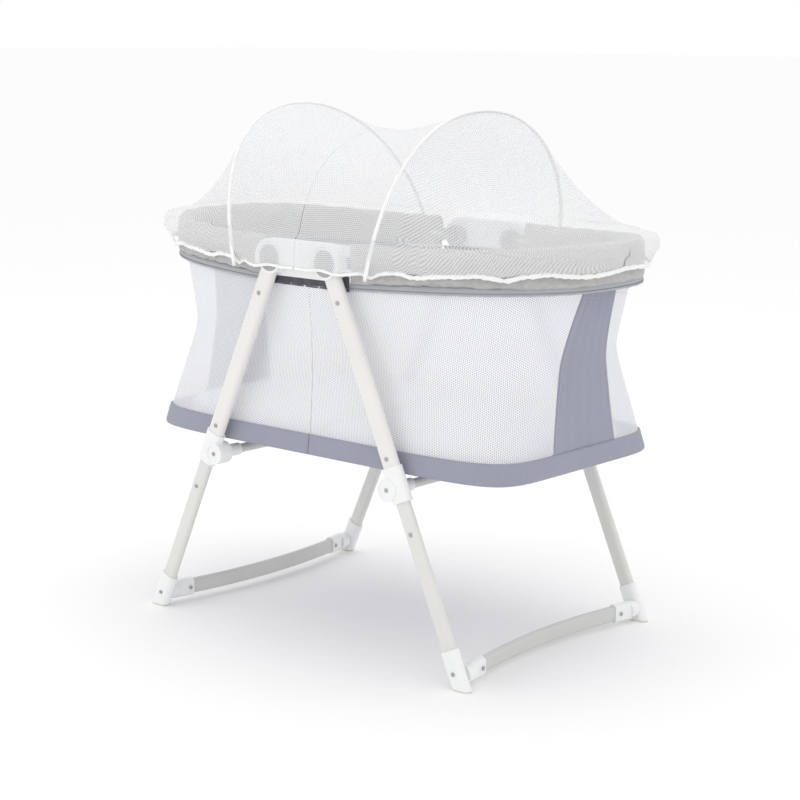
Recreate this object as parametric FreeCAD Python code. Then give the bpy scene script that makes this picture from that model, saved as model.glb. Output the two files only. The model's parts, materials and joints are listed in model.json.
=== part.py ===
"""Folding bassinet on an A-frame stand, with a mesh basket, a mosquito net and flip-down rockers.

Millimetres, +Z up, +X along the basket's length, -Y is the front. The origin is on the floor
under the middle of the basket. Everything is symmetric about the planes x = 0 and y = 0, but for
the net and its two bows, which lean a little towards the front.
"""
import FreeCAD, Part
import math
import os

Vector = FreeCAD.Vector

# ---- clearances
GAP = 0.5             # between pieces that pass each other
RUNNING = 0.05        # radial, on a pivot
SNUG = 0.1            # round a tube that is pushed into a socket

# ---- stand
PIVOT_X = 63.0        # the two hub pivots, either side of the middle
PIVOT_Z = 669.0
LEG_LEAN = 23.8       # degrees from the vertical, stand open
LEG_PLANE_Y = 255.0   # middle of the leg tubes
UPPER_WIDTH = 33.0
UPPER_THICK = 16.0
LOWER_WIDTH = 28.0
LOWER_THICK = 14.0
TUBE_WALL = 1.5
LEG_TOP_RADIUS = 27.0
LEG_TOP_BACK = 7.5    # web behind the leg's middle plane
LEG_TOP_FRONT = 11.0  # rim of the button recess, in front of it
LEG_TOP_OVERLAP = 3.0   # the plug's root inside the round head
PLUG_LENGTH = 56.0
SOCKET_AT = 385.0     # crossbar distance from the pivot, along the leg
SOCKET_INWARD = 18.0  # crossbar offset towards the middle
SOCKET_ABOVE = 33.0
SOCKET_BELOW = 27.0
SOCKET_SKIN = 2.5
SOCKET_STOP_ABOVE = 9.0   # the two tubes stop either side of a web in the connector
SOCKET_STOP_BELOW = 1.0
BOSS_RADIUS = 19.5
BOSS_FRONT = 12.0     # in front of the leg's middle plane
BOSS_BACK = 17.0
BOSS_RIM = 4.5
BOSS_DISH = 1.0
CROSSBAR_STOP = 2.0   # web left behind the crossbar's socket
CROSSBAR_RADIUS = 8.0
CROSSBAR_WALL = 1.2
COLLAR_RADIUS = 11.0
COLLAR_LENGTH = 33.0
FOOT_SCREW_AT = 701.0
FOOT_LENGTH = 66.0
FOOT_ABOVE = 38.0     # of the cap, above its screw
FOOT_STOP = 13.0      # the leg tube ends this far above the screw
FOOT_SKIN = 3.0
SOLE = 3.0
SOLE_INSET = 0.8
SCREW_ROWS = (68.5, 337.0, 466.0)
SCREW_HEAD_RADIUS = 3.6
SCREW_HEAD = 1.4
SCREW_SHANK_RADIUS = 2.0
SCREW_LENGTH = 9.0

# ---- hub and buttons
HUB_RADIUS = 33.0
HUB_PLATE_INSET = 2.0  # the back plate is smaller than the housing in front of it
HUB_PLATE = 5.0
HUB_LOWER_EDGE = 12.0  # below the pivot, between the two leg tops
BOLT_RADIUS = 5.0
BOLT_HEAD_RADIUS = 9.0
BOLT_HEAD = 3.5
NUT = 4.8
NUT_ACROSS = 8.0       # centre to corner
BUTTON_RADIUS = 22.2
BUTTON_CLEAR = 0.4
BUTTON_EDGE = 1.2
BUTTON_PROUD = 0.4
BUTTON_FACE = 3.4
BUTTON_SKIRT = 3.0
BUTTON_WALL = 2.7
SPRING_STEP = 2.0      # spring to skirt, and spring to bolt head
SPRING_STEEL = 1.0

# ---- rim of the basket
RIM_TILT = 2.0        # degrees, the free ends stand a little higher than the hub
RIM_TUBE_RADIUS = 7.5
RIM_TUBE_WALL = 1.2
RIM_TUBE_PLAN = (446.0, 234.0, 2.6)     # half length, half width, roundness power
RIM_OUTER_PLAN = (466.0, 246.0, 2.6)
RIM_INNER_PLAN = (420.0, 222.0, 3.0)
RIM_TOP = 35.0        # above the pivot
RIM_BOTTOM = 37.0     # below it
RIM_FOAM_WINDOW = 10.0
RIM_COVER_START = 96.0
ZIP_DEPTH = 7.0
ZIP_INSET = 4.0
ZIP_WIDTH = 10.0
KNUCKLE_RADIUS = 19.0
KNUCKLE_THICK = 12.5
KNUCKLE_ARM = 45.0
KNUCKLE_ARM_HALF = 9.5
KNUCKLE_ARM_INWARD = 3.0
RIM_TUBE_START = 5.0   # tube end beyond the knuckle's disc

# ---- basket
FLOOR_Z = 334.0
BASE_PLAN = (411.0, 236.0, 7.6)
WAIST_PLAN = (402.0, 228.0, 3.5)
BASKET_TOP_PLAN = (418.0, 236.0, 3.4)
WAIST_Z = 480.0
BAND_HEIGHT = 34.0
BAND_THICK = 3.0
FABRIC = 2.0
SHEET = 1.5
WALL_TO_ZIP = 1.0
BOARD = 3.0
BOARD_TO_MIDDLE = 5.0
BOARD_TO_MATTRESS = 1.0
ROD_END_GAP = 3.0
BOARD_PLAN = (398.0, 222.0, 7.6)
MATTRESS = 45.0
MATTRESS_PLAN = (385.0, 215.0, 6.0)
END_PANEL_BOTTOM = 92.0   # half width
END_PANEL_TOP = 38.0
CENTRE_ROD_RADIUS = 2.0
STRAP_WIDTH = 40.0
STRAP_HEIGHT = 38.0
STRAP_THICK = 1.5
LINING_THICK = 2.0
LINING_BELOW_ZIP = 3.0
LINING_END_GAP = 2.0

# ---- rockers
ROCKER_Z = 24.0
ROCKER_X = 351.0
ROCKER_BOW = 24.0
ROCKER_HALF_CHORD = 225.0
ROCKER_HEIGHT = 29.0
ROCKER_THICK = 14.0
ROCKER_HALF_BAR = 213.0
COLLAR_FROM = 190.0
COLLAR_TO = 231.0
COLLAR_SKIN = 2.6
KNOB_RADIUS = 15.0
KNOB_OVERLAP = 6.0
RIVET_PROUD = 0.9
RIVET_HOLE = 60.0
RIVET_HOLE_INWARD = 40.0
ROCKER_SCREW_Y = 200.0

# ---- mosquito net
NET_PLAN = (484.0, 270.0, 2.7)
NET_THICK = 2.0
NET_HEM_Z = 655.0
NET_EDGE_Z = 722.0    # where the net turns over the rim
NET_EDGE_INSET = 4.0
NET_EDGE_ROUND = 14.0
NET_END_X = 474.0
NET_OVER_BOW = 14.0
NET_SAG_MIDDLE = 41.0
NET_SAG_OUTER = 50.0
HEM_HEIGHT = 8.0
HEM_THICK = 2.5
BOW_TIP_X = 150.0
BOW_LEAN = 0.22       # outward, per unit of height
BOW_SKEW = 0.13       # towards the front, growing with the square of the height
BOW_HALF_WIDTH = 252.0
BOW_TIP_Z = 650.0
BOW_HEIGHT = 256.0
BOW_POWER = 2.15
BOW_RADIUS = 2.5
NET_STATIONS = (0.0, 60.0, 115.0, 150.0, 180.0, 209.0, 234.0, 262.0, 298.0, 344.0, 395.0, 440.0, 474.0)
CURVE_STEPS = 18

OUTLINE_POINTS = 56
FAR = 1200.0
X_AXIS = Vector(1, 0, 0)
Y_AXIS = Vector(0, 1, 0)
Z_AXIS = Vector(0, 0, 1)
ORIGIN = Vector(0, 0, 0)
SIDES = (("left", -1), ("right", 1))
ENDS = (("front", -1), ("back", 1))

LEG_FACE_Y = -UPPER_THICK / 2          # in the leg's own frame, -Y is outward
PLATE_OUTER_Y = LEG_PLANE_Y - LEG_TOP_BACK - GAP
PLATE_INNER_Y = PLATE_OUTER_Y - HUB_PLATE
KNUCKLE_OUTER_Y = PLATE_INNER_Y - GAP
KNUCKLE_INNER_Y = KNUCKLE_OUTER_Y - KNUCKLE_THICK
BAND_TOP = FLOOR_Z + BAND_HEIGHT
ZIP_BOTTOM = PIVOT_Z - RIM_BOTTOM - ZIP_DEPTH
SHEET_TOP = FLOOR_Z + SHEET


def write(name, shape):
    shape.exportStep("parts/" + name + ".step")


def mirrored(shape, side_x, side_y):
    """A shape made at +x, -y, moved to the chosen side and end by reflection."""
    if side_x < 0:
        shape = shape.mirror(ORIGIN, X_AXIS)
    if side_y > 0:
        shape = shape.mirror(ORIGIN, Y_AXIS)
    return shape


def group(shapes):
    return Part.makeCompound(shapes)


def round_y(radius, y_low, y_high, x=0.0, z=0.0):
    """A cylinder along Y."""
    return Part.makeCylinder(radius, y_high - y_low, Vector(x, y_low, z), Y_AXIS)


def block(low, high):
    size = [high[i] - low[i] for i in range(3)]
    return Part.makeBox(size[0], size[1], size[2], Vector(*low))


def flat_oval(width, thick, low, high):
    """A bar along Z with a flat-oval section, width along X and thickness along Y."""
    half = (width - thick) / 2
    radius = thick / 2
    corners = [Vector(-half, -radius, low), Vector(half, -radius, low),
               Vector(half, radius, low), Vector(-half, radius, low)]
    edges = [
        Part.LineSegment(corners[0], corners[1]).toShape(),
        Part.Arc(corners[1], Vector(half + radius, 0, low), corners[2]).toShape(),
        Part.LineSegment(corners[2], corners[3]).toShape(),
        Part.Arc(corners[3], Vector(-half - radius, 0, low), corners[0]).toShape(),
    ]
    return Part.Face(Part.Wire(edges)).extrude(Vector(0, 0, high - low))


# ---------------------------------------------------------------- rounded outlines
def polar(plan, angle):
    """A point of a rounded-rectangle outline: |x/a|^n + |y/b|^n = 1."""
    half_x, half_y, power = plan
    c = math.cos(angle)
    s = math.sin(angle)
    reach = (abs(c / half_x) ** power + abs(s / half_y) ** power) ** (-1.0 / power)
    return reach * c, reach * s


def outline_wire(plan, z):
    """Even steps along the ellipse's own angle keep the points spread round the outline."""
    half_x, half_y = plan[0], plan[1]
    points = []
    for i in range(OUTLINE_POINTS):
        turn = 2 * math.pi * (i + 0.5) / OUTLINE_POINTS
        angle = math.atan2(half_y * math.sin(turn), half_x * math.cos(turn))
        x, y = polar(plan, angle)
        points.append(Vector(x, y, z))
    curve = Part.BSplineCurve()
    curve.interpolate(points, PeriodicFlag=True)
    return Part.Wire([curve.toShape()])


def slab(plan, low, high):
    return Part.Face(outline_wire(plan, low)).extrude(Vector(0, 0, high - low))


def inset(plan, amount):
    return plan[0] - amount, plan[1] - amount, plan[2]


def half_space(side, from_x, low=-FAR, high=FAR):
    """Everything beyond from_x on one side."""
    if side > 0:
        return block((from_x, -FAR, low), (FAR, FAR, high))
    return block((-FAR, -FAR, low), (-from_x, FAR, high))


# ---------------------------------------------------------------- stand
def to_leg(shape, side_x, side_y):
    """From the leg's own frame, pivot at the origin and leg down -Z, to its place."""
    shape = shape.copy()
    shape.rotate(ORIGIN, Y_AXIS, -LEG_LEAN)
    shape.translate(Vector(PIVOT_X, -LEG_PLANE_Y, PIVOT_Z))
    return mirrored(shape, side_x, side_y)


def screw_hole(at, inward=0.0, depth=SCREW_LENGTH):
    return round_y(SCREW_SHANK_RADIUS, LEG_FACE_Y - GAP, LEG_FACE_Y + depth, -inward, -at)


def screw(at, inward=0.0, face_y=LEG_FACE_Y, depth=SCREW_LENGTH):
    """A slotted pan-head screw whose head rests on the face."""
    head = round_y(SCREW_HEAD_RADIUS, face_y - SCREW_HEAD, face_y, -inward, -at)
    shank = round_y(SCREW_SHANK_RADIUS, face_y, face_y + depth, -inward, -at)
    slot = block((-inward - SCREW_HEAD_RADIUS, face_y - SCREW_HEAD, -at - SCREW_HEAD / 3),
                 (-inward + SCREW_HEAD_RADIUS, face_y - SCREW_HEAD / 2, -at + SCREW_HEAD / 3))
    return head.fuse(shank).cut(slot)


def leg_top():
    """Round white head of a leg: it turns on the pivot bolt and holds the button."""
    head = round_y(LEG_TOP_RADIUS, -LEG_TOP_FRONT, LEG_TOP_BACK)
    recess = round_y(BUTTON_RADIUS + BUTTON_CLEAR, -LEG_TOP_FRONT, 0)
    wall = TUBE_WALL + SNUG
    plug = flat_oval(UPPER_WIDTH - 2 * wall, UPPER_THICK - 2 * wall,
                     -LEG_TOP_RADIUS - PLUG_LENGTH, -LEG_TOP_RADIUS + LEG_TOP_OVERLAP)
    bore = round_y(BOLT_RADIUS + RUNNING, -LEG_TOP_FRONT, LEG_TOP_BACK)
    return head.cut(recess).fuse(plug).cut(bore).cut(screw_hole(SCREW_ROWS[0]))


def upper_leg():
    """Flat-oval tube whose top end is hollowed to sit against the round leg top."""
    top = -LEG_TOP_RADIUS / 2
    bottom = -SOCKET_AT + SOCKET_STOP_ABOVE
    tube = flat_oval(UPPER_WIDTH, UPPER_THICK, bottom, top)
    hollow = flat_oval(UPPER_WIDTH - 2 * TUBE_WALL, UPPER_THICK - 2 * TUBE_WALL, bottom, top)
    tube = tube.cut(hollow)
    tube = tube.cut(round_y(LEG_TOP_RADIUS + SNUG, -LEG_TOP_FRONT, LEG_TOP_BACK + GAP))
    for at in SCREW_ROWS[:2]:
        tube = tube.cut(screw_hole(at, depth=UPPER_THICK / 2))
    return tube


def lower_leg():
    top = -SOCKET_AT - SOCKET_STOP_BELOW
    bottom = -FOOT_SCREW_AT + FOOT_STOP
    tube = flat_oval(LOWER_WIDTH, LOWER_THICK, bottom, top)
    hollow = flat_oval(LOWER_WIDTH - 2 * TUBE_WALL, LOWER_THICK - 2 * TUBE_WALL, bottom, top)
    return tube.cut(hollow).cut(screw_hole(SCREW_ROWS[2], depth=LOWER_THICK / 2))


def mid_connector():
    """Sleeve joining the two leg tubes, with the crossbar's boss on its inner side."""
    body = flat_oval(UPPER_WIDTH + 2 * SOCKET_SKIN, UPPER_THICK + 2 * SOCKET_SKIN,
                     -SOCKET_AT - SOCKET_BELOW, -SOCKET_AT + SOCKET_ABOVE)
    boss = round_y(BOSS_RADIUS, -BOSS_FRONT, BOSS_BACK, -SOCKET_INWARD, -SOCKET_AT)
    collar = round_y(COLLAR_RADIUS, BOSS_BACK, BOSS_BACK + COLLAR_LENGTH, -SOCKET_INWARD, -SOCKET_AT)
    body = body.fuse(boss).fuse(collar)
    upper = flat_oval(UPPER_WIDTH + 2 * SNUG, UPPER_THICK + 2 * SNUG,
                      -SOCKET_AT + SOCKET_STOP_ABOVE - SNUG, -SOCKET_AT + SOCKET_ABOVE)
    lower = flat_oval(LOWER_WIDTH + 2 * SNUG, LOWER_THICK + 2 * SNUG,
                      -SOCKET_AT - SOCKET_BELOW, -SOCKET_AT - SOCKET_STOP_BELOW + SNUG)
    bore = round_y(CROSSBAR_RADIUS + SNUG, LOWER_THICK / 2 + CROSSBAR_STOP, BOSS_BACK + COLLAR_LENGTH,
                   -SOCKET_INWARD, -SOCKET_AT)
    dish = round_y(BOSS_RADIUS - BOSS_RIM, -BOSS_FRONT, -BOSS_FRONT + BOSS_DISH,
                   -SOCKET_INWARD, -SOCKET_AT)
    hole = round_y(SCREW_SHANK_RADIUS, -BOSS_FRONT, -BOSS_FRONT + BOSS_DISH + SCREW_LENGTH / 2,
                   -SOCKET_INWARD, -SOCKET_AT)
    return body.cut(upper).cut(lower).cut(bore).cut(dish).cut(hole)


def crossbar(side):
    """Round tube from the front connector to the back one, under the basket."""
    lean = math.radians(LEG_LEAN)
    x = PIVOT_X + SOCKET_AT * math.sin(lean) - SOCKET_INWARD * math.cos(lean)
    z = PIVOT_Z - SOCKET_AT * math.cos(lean) - SOCKET_INWARD * math.sin(lean)
    reach = LEG_PLANE_Y - LOWER_THICK / 2 - CROSSBAR_STOP - SNUG
    bar = round_y(CROSSBAR_RADIUS, -reach, reach, side * x, z)
    return bar.cut(round_y(CROSSBAR_RADIUS - CROSSBAR_WALL, -reach, reach, side * x, z))


def foot_block(skin, low, high):
    return flat_oval(LOWER_WIDTH + 2 * skin, LOWER_THICK + 2 * skin, low, high)


def foot_cap(side, end):
    """White cap on the leg's end, cut level above its rubber sole."""
    long_end = -FOOT_SCREW_AT - FOOT_LENGTH
    top = -FOOT_SCREW_AT + FOOT_ABOVE
    body = foot_block(FOOT_SKIN, long_end, top)
    socket = flat_oval(LOWER_WIDTH + 2 * SNUG, LOWER_THICK + 2 * SNUG,
                       -FOOT_SCREW_AT + FOOT_STOP - SNUG, top)
    face = -LOWER_THICK / 2 - FOOT_SKIN
    hole = round_y(SCREW_SHANK_RADIUS, face, face + SCREW_LENGTH, 0, -FOOT_SCREW_AT)
    placed = to_leg(body.cut(socket).cut(hole), side, end)
    return placed.cut(block((-FAR, -FAR, -FAR), (FAR, FAR, SOLE)))


def foot_sole(side, end):
    block_up = foot_block(FOOT_SKIN - SOLE_INSET, -FOOT_SCREW_AT - FOOT_LENGTH, -FOOT_SCREW_AT)
    placed = to_leg(block_up, side, end)
    return placed.common(block((-FAR, -FAR, 0), (FAR, FAR, SOLE)))


def leg_screws(side, end):
    lower_face = -LOWER_THICK / 2
    shapes = [screw(SCREW_ROWS[0]), screw(SCREW_ROWS[1], depth=UPPER_THICK / 2)]
    shapes.append(screw(SCREW_ROWS[2], face_y=lower_face, depth=LOWER_THICK / 2))
    shapes.append(screw(SOCKET_AT, SOCKET_INWARD, -BOSS_FRONT + BOSS_DISH, SCREW_LENGTH / 2))
    shapes.append(screw(FOOT_SCREW_AT, 0.0, lower_face - FOOT_SKIN))
    return [to_leg(shape, side, end) for shape in shapes]


def build_stand():
    for side_name, side in SIDES:
        for end_name, end in ENDS:
            tag = end_name + "_" + side_name
            write("upper_leg_" + tag, to_leg(upper_leg(), side, end))
            write("lower_leg_" + tag, to_leg(lower_leg(), side, end))
        both = [end for _, end in ENDS]
        write("leg_tops_" + side_name, group([to_leg(leg_top(), side, end) for end in both]))
        write("mid_connectors_" + side_name, group([to_leg(mid_connector(), side, end) for end in both]))
        write("foot_caps_" + side_name, group([foot_cap(side, end) for end in both]))
        write("foot_soles_" + side_name, group([foot_sole(side, end) for end in both]))
        write("crossbar_" + side_name, crossbar(side))
        write("leg_screws_" + side_name, group([s for end in both for s in leg_screws(side, end)]))


# ---------------------------------------------------------------- hub, bolts and buttons
def stadium(radius, y_low, y_high):
    bar = block((-PIVOT_X, y_low, PIVOT_Z - radius), (PIVOT_X, y_high, PIVOT_Z + radius))
    for x in (-PIVOT_X, PIVOT_X):
        bar = bar.fuse(round_y(radius, y_low, y_high, x, PIVOT_Z))
    return bar


def hub_housing(end):
    """A back plate that carries both pivot bolts, and the bridge between the leg tops."""
    front = -LEG_PLANE_Y - LEG_TOP_FRONT
    bridge = stadium(HUB_RADIUS, front, -PLATE_OUTER_Y)
    bridge = bridge.cut(block((-FAR, -FAR, 0), (FAR, FAR, PIVOT_Z - HUB_LOWER_EDGE)))
    plate = stadium(HUB_RADIUS - HUB_PLATE_INSET, -PLATE_OUTER_Y, -PLATE_INNER_Y)
    for x in (-PIVOT_X, PIVOT_X):
        bridge = bridge.cut(round_y(LEG_TOP_RADIUS + GAP, front, -PLATE_OUTER_Y, x, PIVOT_Z))
    body = bridge.fuse(plate)
    for x in (-PIVOT_X, PIVOT_X):
        body = body.cut(round_y(BOLT_RADIUS + RUNNING / 2, front, -PLATE_INNER_Y, x, PIVOT_Z))
    return mirrored(body, 1, end)


def hexagon(across, y_low, y_high, x, z):
    points = []
    for i in range(7):
        angle = math.radians(60 * i)
        points.append(Vector(x + across * math.cos(angle), y_low, z + across * math.sin(angle)))
    return Part.Face(Part.makePolygon(points)).extrude(Vector(0, y_high - y_low, 0))


def pivot_bolt(side, end):
    head_back = -LEG_PLANE_Y - SNUG
    nut_low = -KNUCKLE_INNER_Y + SNUG
    head = round_y(BOLT_HEAD_RADIUS, head_back - BOLT_HEAD, head_back, PIVOT_X, PIVOT_Z)
    shank = round_y(BOLT_RADIUS, head_back, nut_low + NUT, PIVOT_X, PIVOT_Z)
    nut = hexagon(NUT_ACROSS, nut_low, nut_low + NUT, PIVOT_X, PIVOT_Z)
    nut = nut.cut(round_y(BOLT_RADIUS, nut_low, nut_low + NUT, PIVOT_X, PIVOT_Z))
    return [mirrored(head.fuse(shank), side, end), mirrored(nut, side, end)]


def button(side, end):
    """Grey push button: a round face with a skirt that guides it in the leg top."""
    face_front = -LEG_PLANE_Y - LEG_TOP_FRONT - BUTTON_PROUD
    face_back = face_front + BUTTON_FACE
    face = round_y(BUTTON_RADIUS, face_front, face_back, PIVOT_X, PIVOT_Z)
    edge = face.Edges[0]
    for candidate in face.Edges:
        if abs(candidate.CenterOfMass.y - face_front) < GAP and candidate.Closed:
            edge = candidate
    face = face.makeFillet(BUTTON_EDGE, [edge])
    skirt = round_y(BUTTON_RADIUS, face_back, face_back + BUTTON_SKIRT, PIVOT_X, PIVOT_Z)
    skirt = skirt.cut(round_y(BUTTON_RADIUS - BUTTON_WALL, face_back, face_back + BUTTON_SKIRT,
                              PIVOT_X, PIVOT_Z))
    return mirrored(face.fuse(skirt), side, end)


def button_spring(side, end):
    """Conical spring washer between the recess floor and the button."""
    back = -LEG_PLANE_Y - SNUG
    front = -LEG_PLANE_Y - LEG_TOP_FRONT - BUTTON_PROUD + BUTTON_FACE + SNUG
    wide = BUTTON_RADIUS - BUTTON_WALL - SPRING_STEP
    narrow = BOLT_HEAD_RADIUS + SPRING_STEP
    outline = [Vector(wide, back, 0), Vector(wide - SPRING_STEEL, back, 0),
               Vector(narrow, front, 0), Vector(narrow + SPRING_STEEL, front, 0), Vector(wide, back, 0)]
    cone = Part.Face(Part.makePolygon(outline)).revolve(ORIGIN, Y_AXIS, 360)
    cone.translate(Vector(PIVOT_X, 0, PIVOT_Z))
    return mirrored(cone, side, end)


def lining(end):
    """Fabric that closes the gap under the hub between the two halves of the rim cover."""
    outer = BASKET_TOP_PLAN[1] + GAP + LINING_THICK
    half = RIM_COVER_START - LINING_END_GAP
    low = ZIP_BOTTOM - LINING_BELOW_ZIP
    high = PIVOT_Z - KNUCKLE_RADIUS - LINING_END_GAP
    strip = block((-half, -outer, low), (half, -outer + LINING_THICK, high))
    return mirrored(strip, 1, end)


def build_hub():
    corners = [(side, end) for _, side in SIDES for _, end in ENDS]
    for end_name, end in ENDS:
        write("hub_" + end_name, hub_housing(end))
    write("pivot_bolts", group([piece for side, end in corners for piece in pivot_bolt(side, end)]))
    write("hub_linings", group([lining(end) for _, end in ENDS]))
    for side_name, side in SIDES:
        for end_name, end in ENDS:
            write("release_button_" + end_name + "_" + side_name, button(side, end))
        write("button_springs_" + side_name, group([button_spring(side, end) for _, end in ENDS]))


# ---------------------------------------------------------------- rim
def tilt(shape, side):
    """Turn a rim piece made level so that its free end stands a little high."""
    shape = shape.copy()
    shape.rotate(Vector(side * PIVOT_X, 0, PIVOT_Z), Y_AXIS, -side * RIM_TILT)
    return shape


def rim_pipe(radius):
    """Round bar along the right half of the tube's outline."""
    start = PIVOT_X + KNUCKLE_RADIUS + RIM_TUBE_START
    half_x, half_y, power = RIM_TUBE_PLAN
    start_y = half_y * (1 - (start / half_x) ** power) ** (1 / power)
    limit = math.atan2(start_y / half_y, start / half_x)
    points = []
    for i in range(CURVE_STEPS + 1):
        turn = limit * (-1 + 2 * i / CURVE_STEPS)
        angle = math.atan2(half_y * math.sin(turn), half_x * math.cos(turn))
        x, y = polar(RIM_TUBE_PLAN, angle)
        points.append(Vector(x, y, PIVOT_Z))
    path = Part.BSplineCurve()
    path.interpolate(points)
    spine = Part.Wire([path.toShape()])
    section = Part.Wire([Part.Circle(points[0], path.tangent(path.FirstParameter)[0], radius).toShape()])
    return spine.makePipeShell([section], True, True)


def rim_knuckle(end, channel):
    disc = round_y(KNUCKLE_RADIUS, -KNUCKLE_OUTER_Y, -KNUCKLE_INNER_Y, PIVOT_X, PIVOT_Z)
    arm = block((PIVOT_X + KNUCKLE_RADIUS / 2, -KNUCKLE_OUTER_Y, PIVOT_Z - KNUCKLE_ARM_HALF),
                (PIVOT_X + KNUCKLE_ARM, -KNUCKLE_INNER_Y + KNUCKLE_ARM_INWARD,
                 PIVOT_Z + KNUCKLE_ARM_HALF))
    bore = round_y(BOLT_RADIUS + RUNNING, -KNUCKLE_OUTER_Y, -KNUCKLE_INNER_Y, PIVOT_X, PIVOT_Z)
    return mirrored(disc.fuse(arm).cut(bore).cut(channel), 1, end)


def ring_slab(outer, inner, low, high):
    return slab(outer, low, high).cut(slab(inner, low - GAP, high + GAP))


def rim_cover():
    """Foam-lined fabric round the tube, with the tube's window left open inside."""
    low = PIVOT_Z - RIM_BOTTOM
    high = PIVOT_Z + RIM_TOP
    cover = ring_slab(RIM_OUTER_PLAN, RIM_INNER_PLAN, low, high)
    around = RIM_FOAM_WINDOW
    window = ring_slab(inset(RIM_TUBE_PLAN, -around), inset(RIM_TUBE_PLAN, around),
                       PIVOT_Z - around, PIVOT_Z + around)
    cover = cover.cut(window)
    return cover.common(half_space(1, RIM_COVER_START))


def rim_zip():
    outer = inset(RIM_OUTER_PLAN, ZIP_INSET)
    tape = ring_slab(outer, inset(outer, ZIP_WIDTH), ZIP_BOTTOM, ZIP_BOTTOM + ZIP_DEPTH)
    return tape.common(half_space(1, RIM_COVER_START))


def build_rim():
    tube = rim_pipe(RIM_TUBE_RADIUS).cut(rim_pipe(RIM_TUBE_RADIUS - RIM_TUBE_WALL))
    channel = rim_pipe(RIM_TUBE_RADIUS + SNUG)
    knuckles = group([rim_knuckle(end, channel) for _, end in ENDS])
    pieces = {"rim_tube_": tube, "rim_knuckles_": knuckles, "rim_cover_": rim_cover(), "rim_zip_": rim_zip()}
    for side_name, side in SIDES:
        for name, shape in pieces.items():
            write(name + side_name, tilt(mirrored(shape, side, -1), side))


# ---------------------------------------------------------------- basket
def wall_solid(shrink):
    """The basket's outer form from the base band up to the rim, pulled in at the waist."""
    top = PIVOT_Z
    sections = [(BASE_PLAN, FLOOR_Z), (WAIST_PLAN, WAIST_Z), (BASKET_TOP_PLAN, top)]
    wires = [outline_wire(inset(plan, shrink), z) for plan, z in sections]
    return Part.makeLoft(wires, True, False)


def wall_half(side):
    """Thin wall of one half, between the base band and the zip, which rises towards its end."""
    wall = wall_solid(0).cut(wall_solid(FABRIC))
    wall = wall.common(half_space(side, GAP, BAND_TOP + GAP, PIVOT_Z))
    return wall.cut(tilt(block((-FAR, -FAR, ZIP_BOTTOM - WALL_TO_ZIP), (FAR, FAR, FAR)), side))


def end_prism(side):
    """Tapered region of the end panel, wide at the base and narrow at the rim."""
    low = FLOOR_Z
    high = PIVOT_Z
    corners = [(-END_PANEL_BOTTOM, low), (END_PANEL_BOTTOM, low), (END_PANEL_TOP, high),
               (-END_PANEL_TOP, high), (-END_PANEL_BOTTOM, low)]
    start = side * WAIST_PLAN[0] / 2
    face = Part.Face(Part.makePolygon([Vector(start, y, z) for y, z in corners]))
    return face.extrude(Vector(side * WAIST_PLAN[0], 0, 0))


def base_tray(side):
    """Stiffened fabric band, flush with the wall above it, and bottom sheet, sewn as one tray."""
    ring = wall_solid(0).cut(wall_solid(BAND_THICK)).common(half_space(1, -FAR, FLOOR_Z, BAND_TOP))
    sheet = slab(inset(BASE_PLAN, BAND_THICK / 2), FLOOR_Z, SHEET_TOP)
    return ring.fuse(sheet).common(half_space(side, GAP))


def build_basket():
    board_low = SHEET_TOP + GAP
    board_high = board_low + BOARD
    mattress_low = board_high + BOARD_TO_MATTRESS
    for side_name, side in SIDES:
        wall = wall_half(side)
        prism = end_prism(side)
        write("mesh_wall_" + side_name, wall.cut(prism))
        write("end_panel_" + side_name, wall.common(prism))
        write("base_band_" + side_name, base_tray(side))
        board = slab(BOARD_PLAN, board_low, board_high).common(half_space(side, BOARD_TO_MIDDLE))
        write("floor_board_" + side_name, board)
        mattress = slab(MATTRESS_PLAN, mattress_low, mattress_low + MATTRESS)
        write("mattress_" + side_name, mattress.common(half_space(side, STRAP_THICK)))
    rod_z = SHEET_TOP + SNUG + CENTRE_ROD_RADIUS
    rod_reach = BASE_PLAN[1] - BAND_THICK - ROD_END_GAP
    write("centre_rod", round_y(CENTRE_ROD_RADIUS, -rod_reach, rod_reach, 0, rod_z))
    strap_low = rod_z + CENTRE_ROD_RADIUS
    write("pull_strap", block((-STRAP_THICK / 2, -STRAP_WIDTH / 2, strap_low),
                              (STRAP_THICK / 2, STRAP_WIDTH / 2, strap_low + STRAP_HEIGHT)))


# ---------------------------------------------------------------- rockers
def rocker_sweep(height, thick, y_from, y_to):
    """Flat-oval bar on the rocker's arc, bowed towards the middle of the stand."""
    radius = (ROCKER_HALF_CHORD ** 2 + ROCKER_BOW ** 2) / (2 * ROCKER_BOW)
    centre = Vector(ROCKER_X - ROCKER_BOW + radius, 0, ROCKER_Z)
    start = math.degrees(math.asin(y_from / radius))
    sweep = math.degrees(math.asin(y_to / radius)) - start
    half = (height - thick) / 2
    r = thick / 2
    mid = centre.x - radius
    low = ROCKER_Z - half
    high = ROCKER_Z + half
    edges = [
        Part.LineSegment(Vector(mid - r, 0, low), Vector(mid - r, 0, high)).toShape(),
        Part.Arc(Vector(mid - r, 0, high), Vector(mid, 0, high + r), Vector(mid + r, 0, high)).toShape(),
        Part.LineSegment(Vector(mid + r, 0, high), Vector(mid + r, 0, low)).toShape(),
        Part.Arc(Vector(mid + r, 0, low), Vector(mid, 0, low - r), Vector(mid - r, 0, low)).toShape(),
    ]
    face = Part.Face(Part.Wire(edges))
    face.rotate(centre, Z_AXIS, -start)
    return face.revolve(centre, Z_AXIS, -sweep)


def rocker_arc_x(y):
    radius = (ROCKER_HALF_CHORD ** 2 + ROCKER_BOW ** 2) / (2 * ROCKER_BOW)
    return ROCKER_X - ROCKER_BOW + radius - math.sqrt(radius ** 2 - y ** 2)


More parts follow.
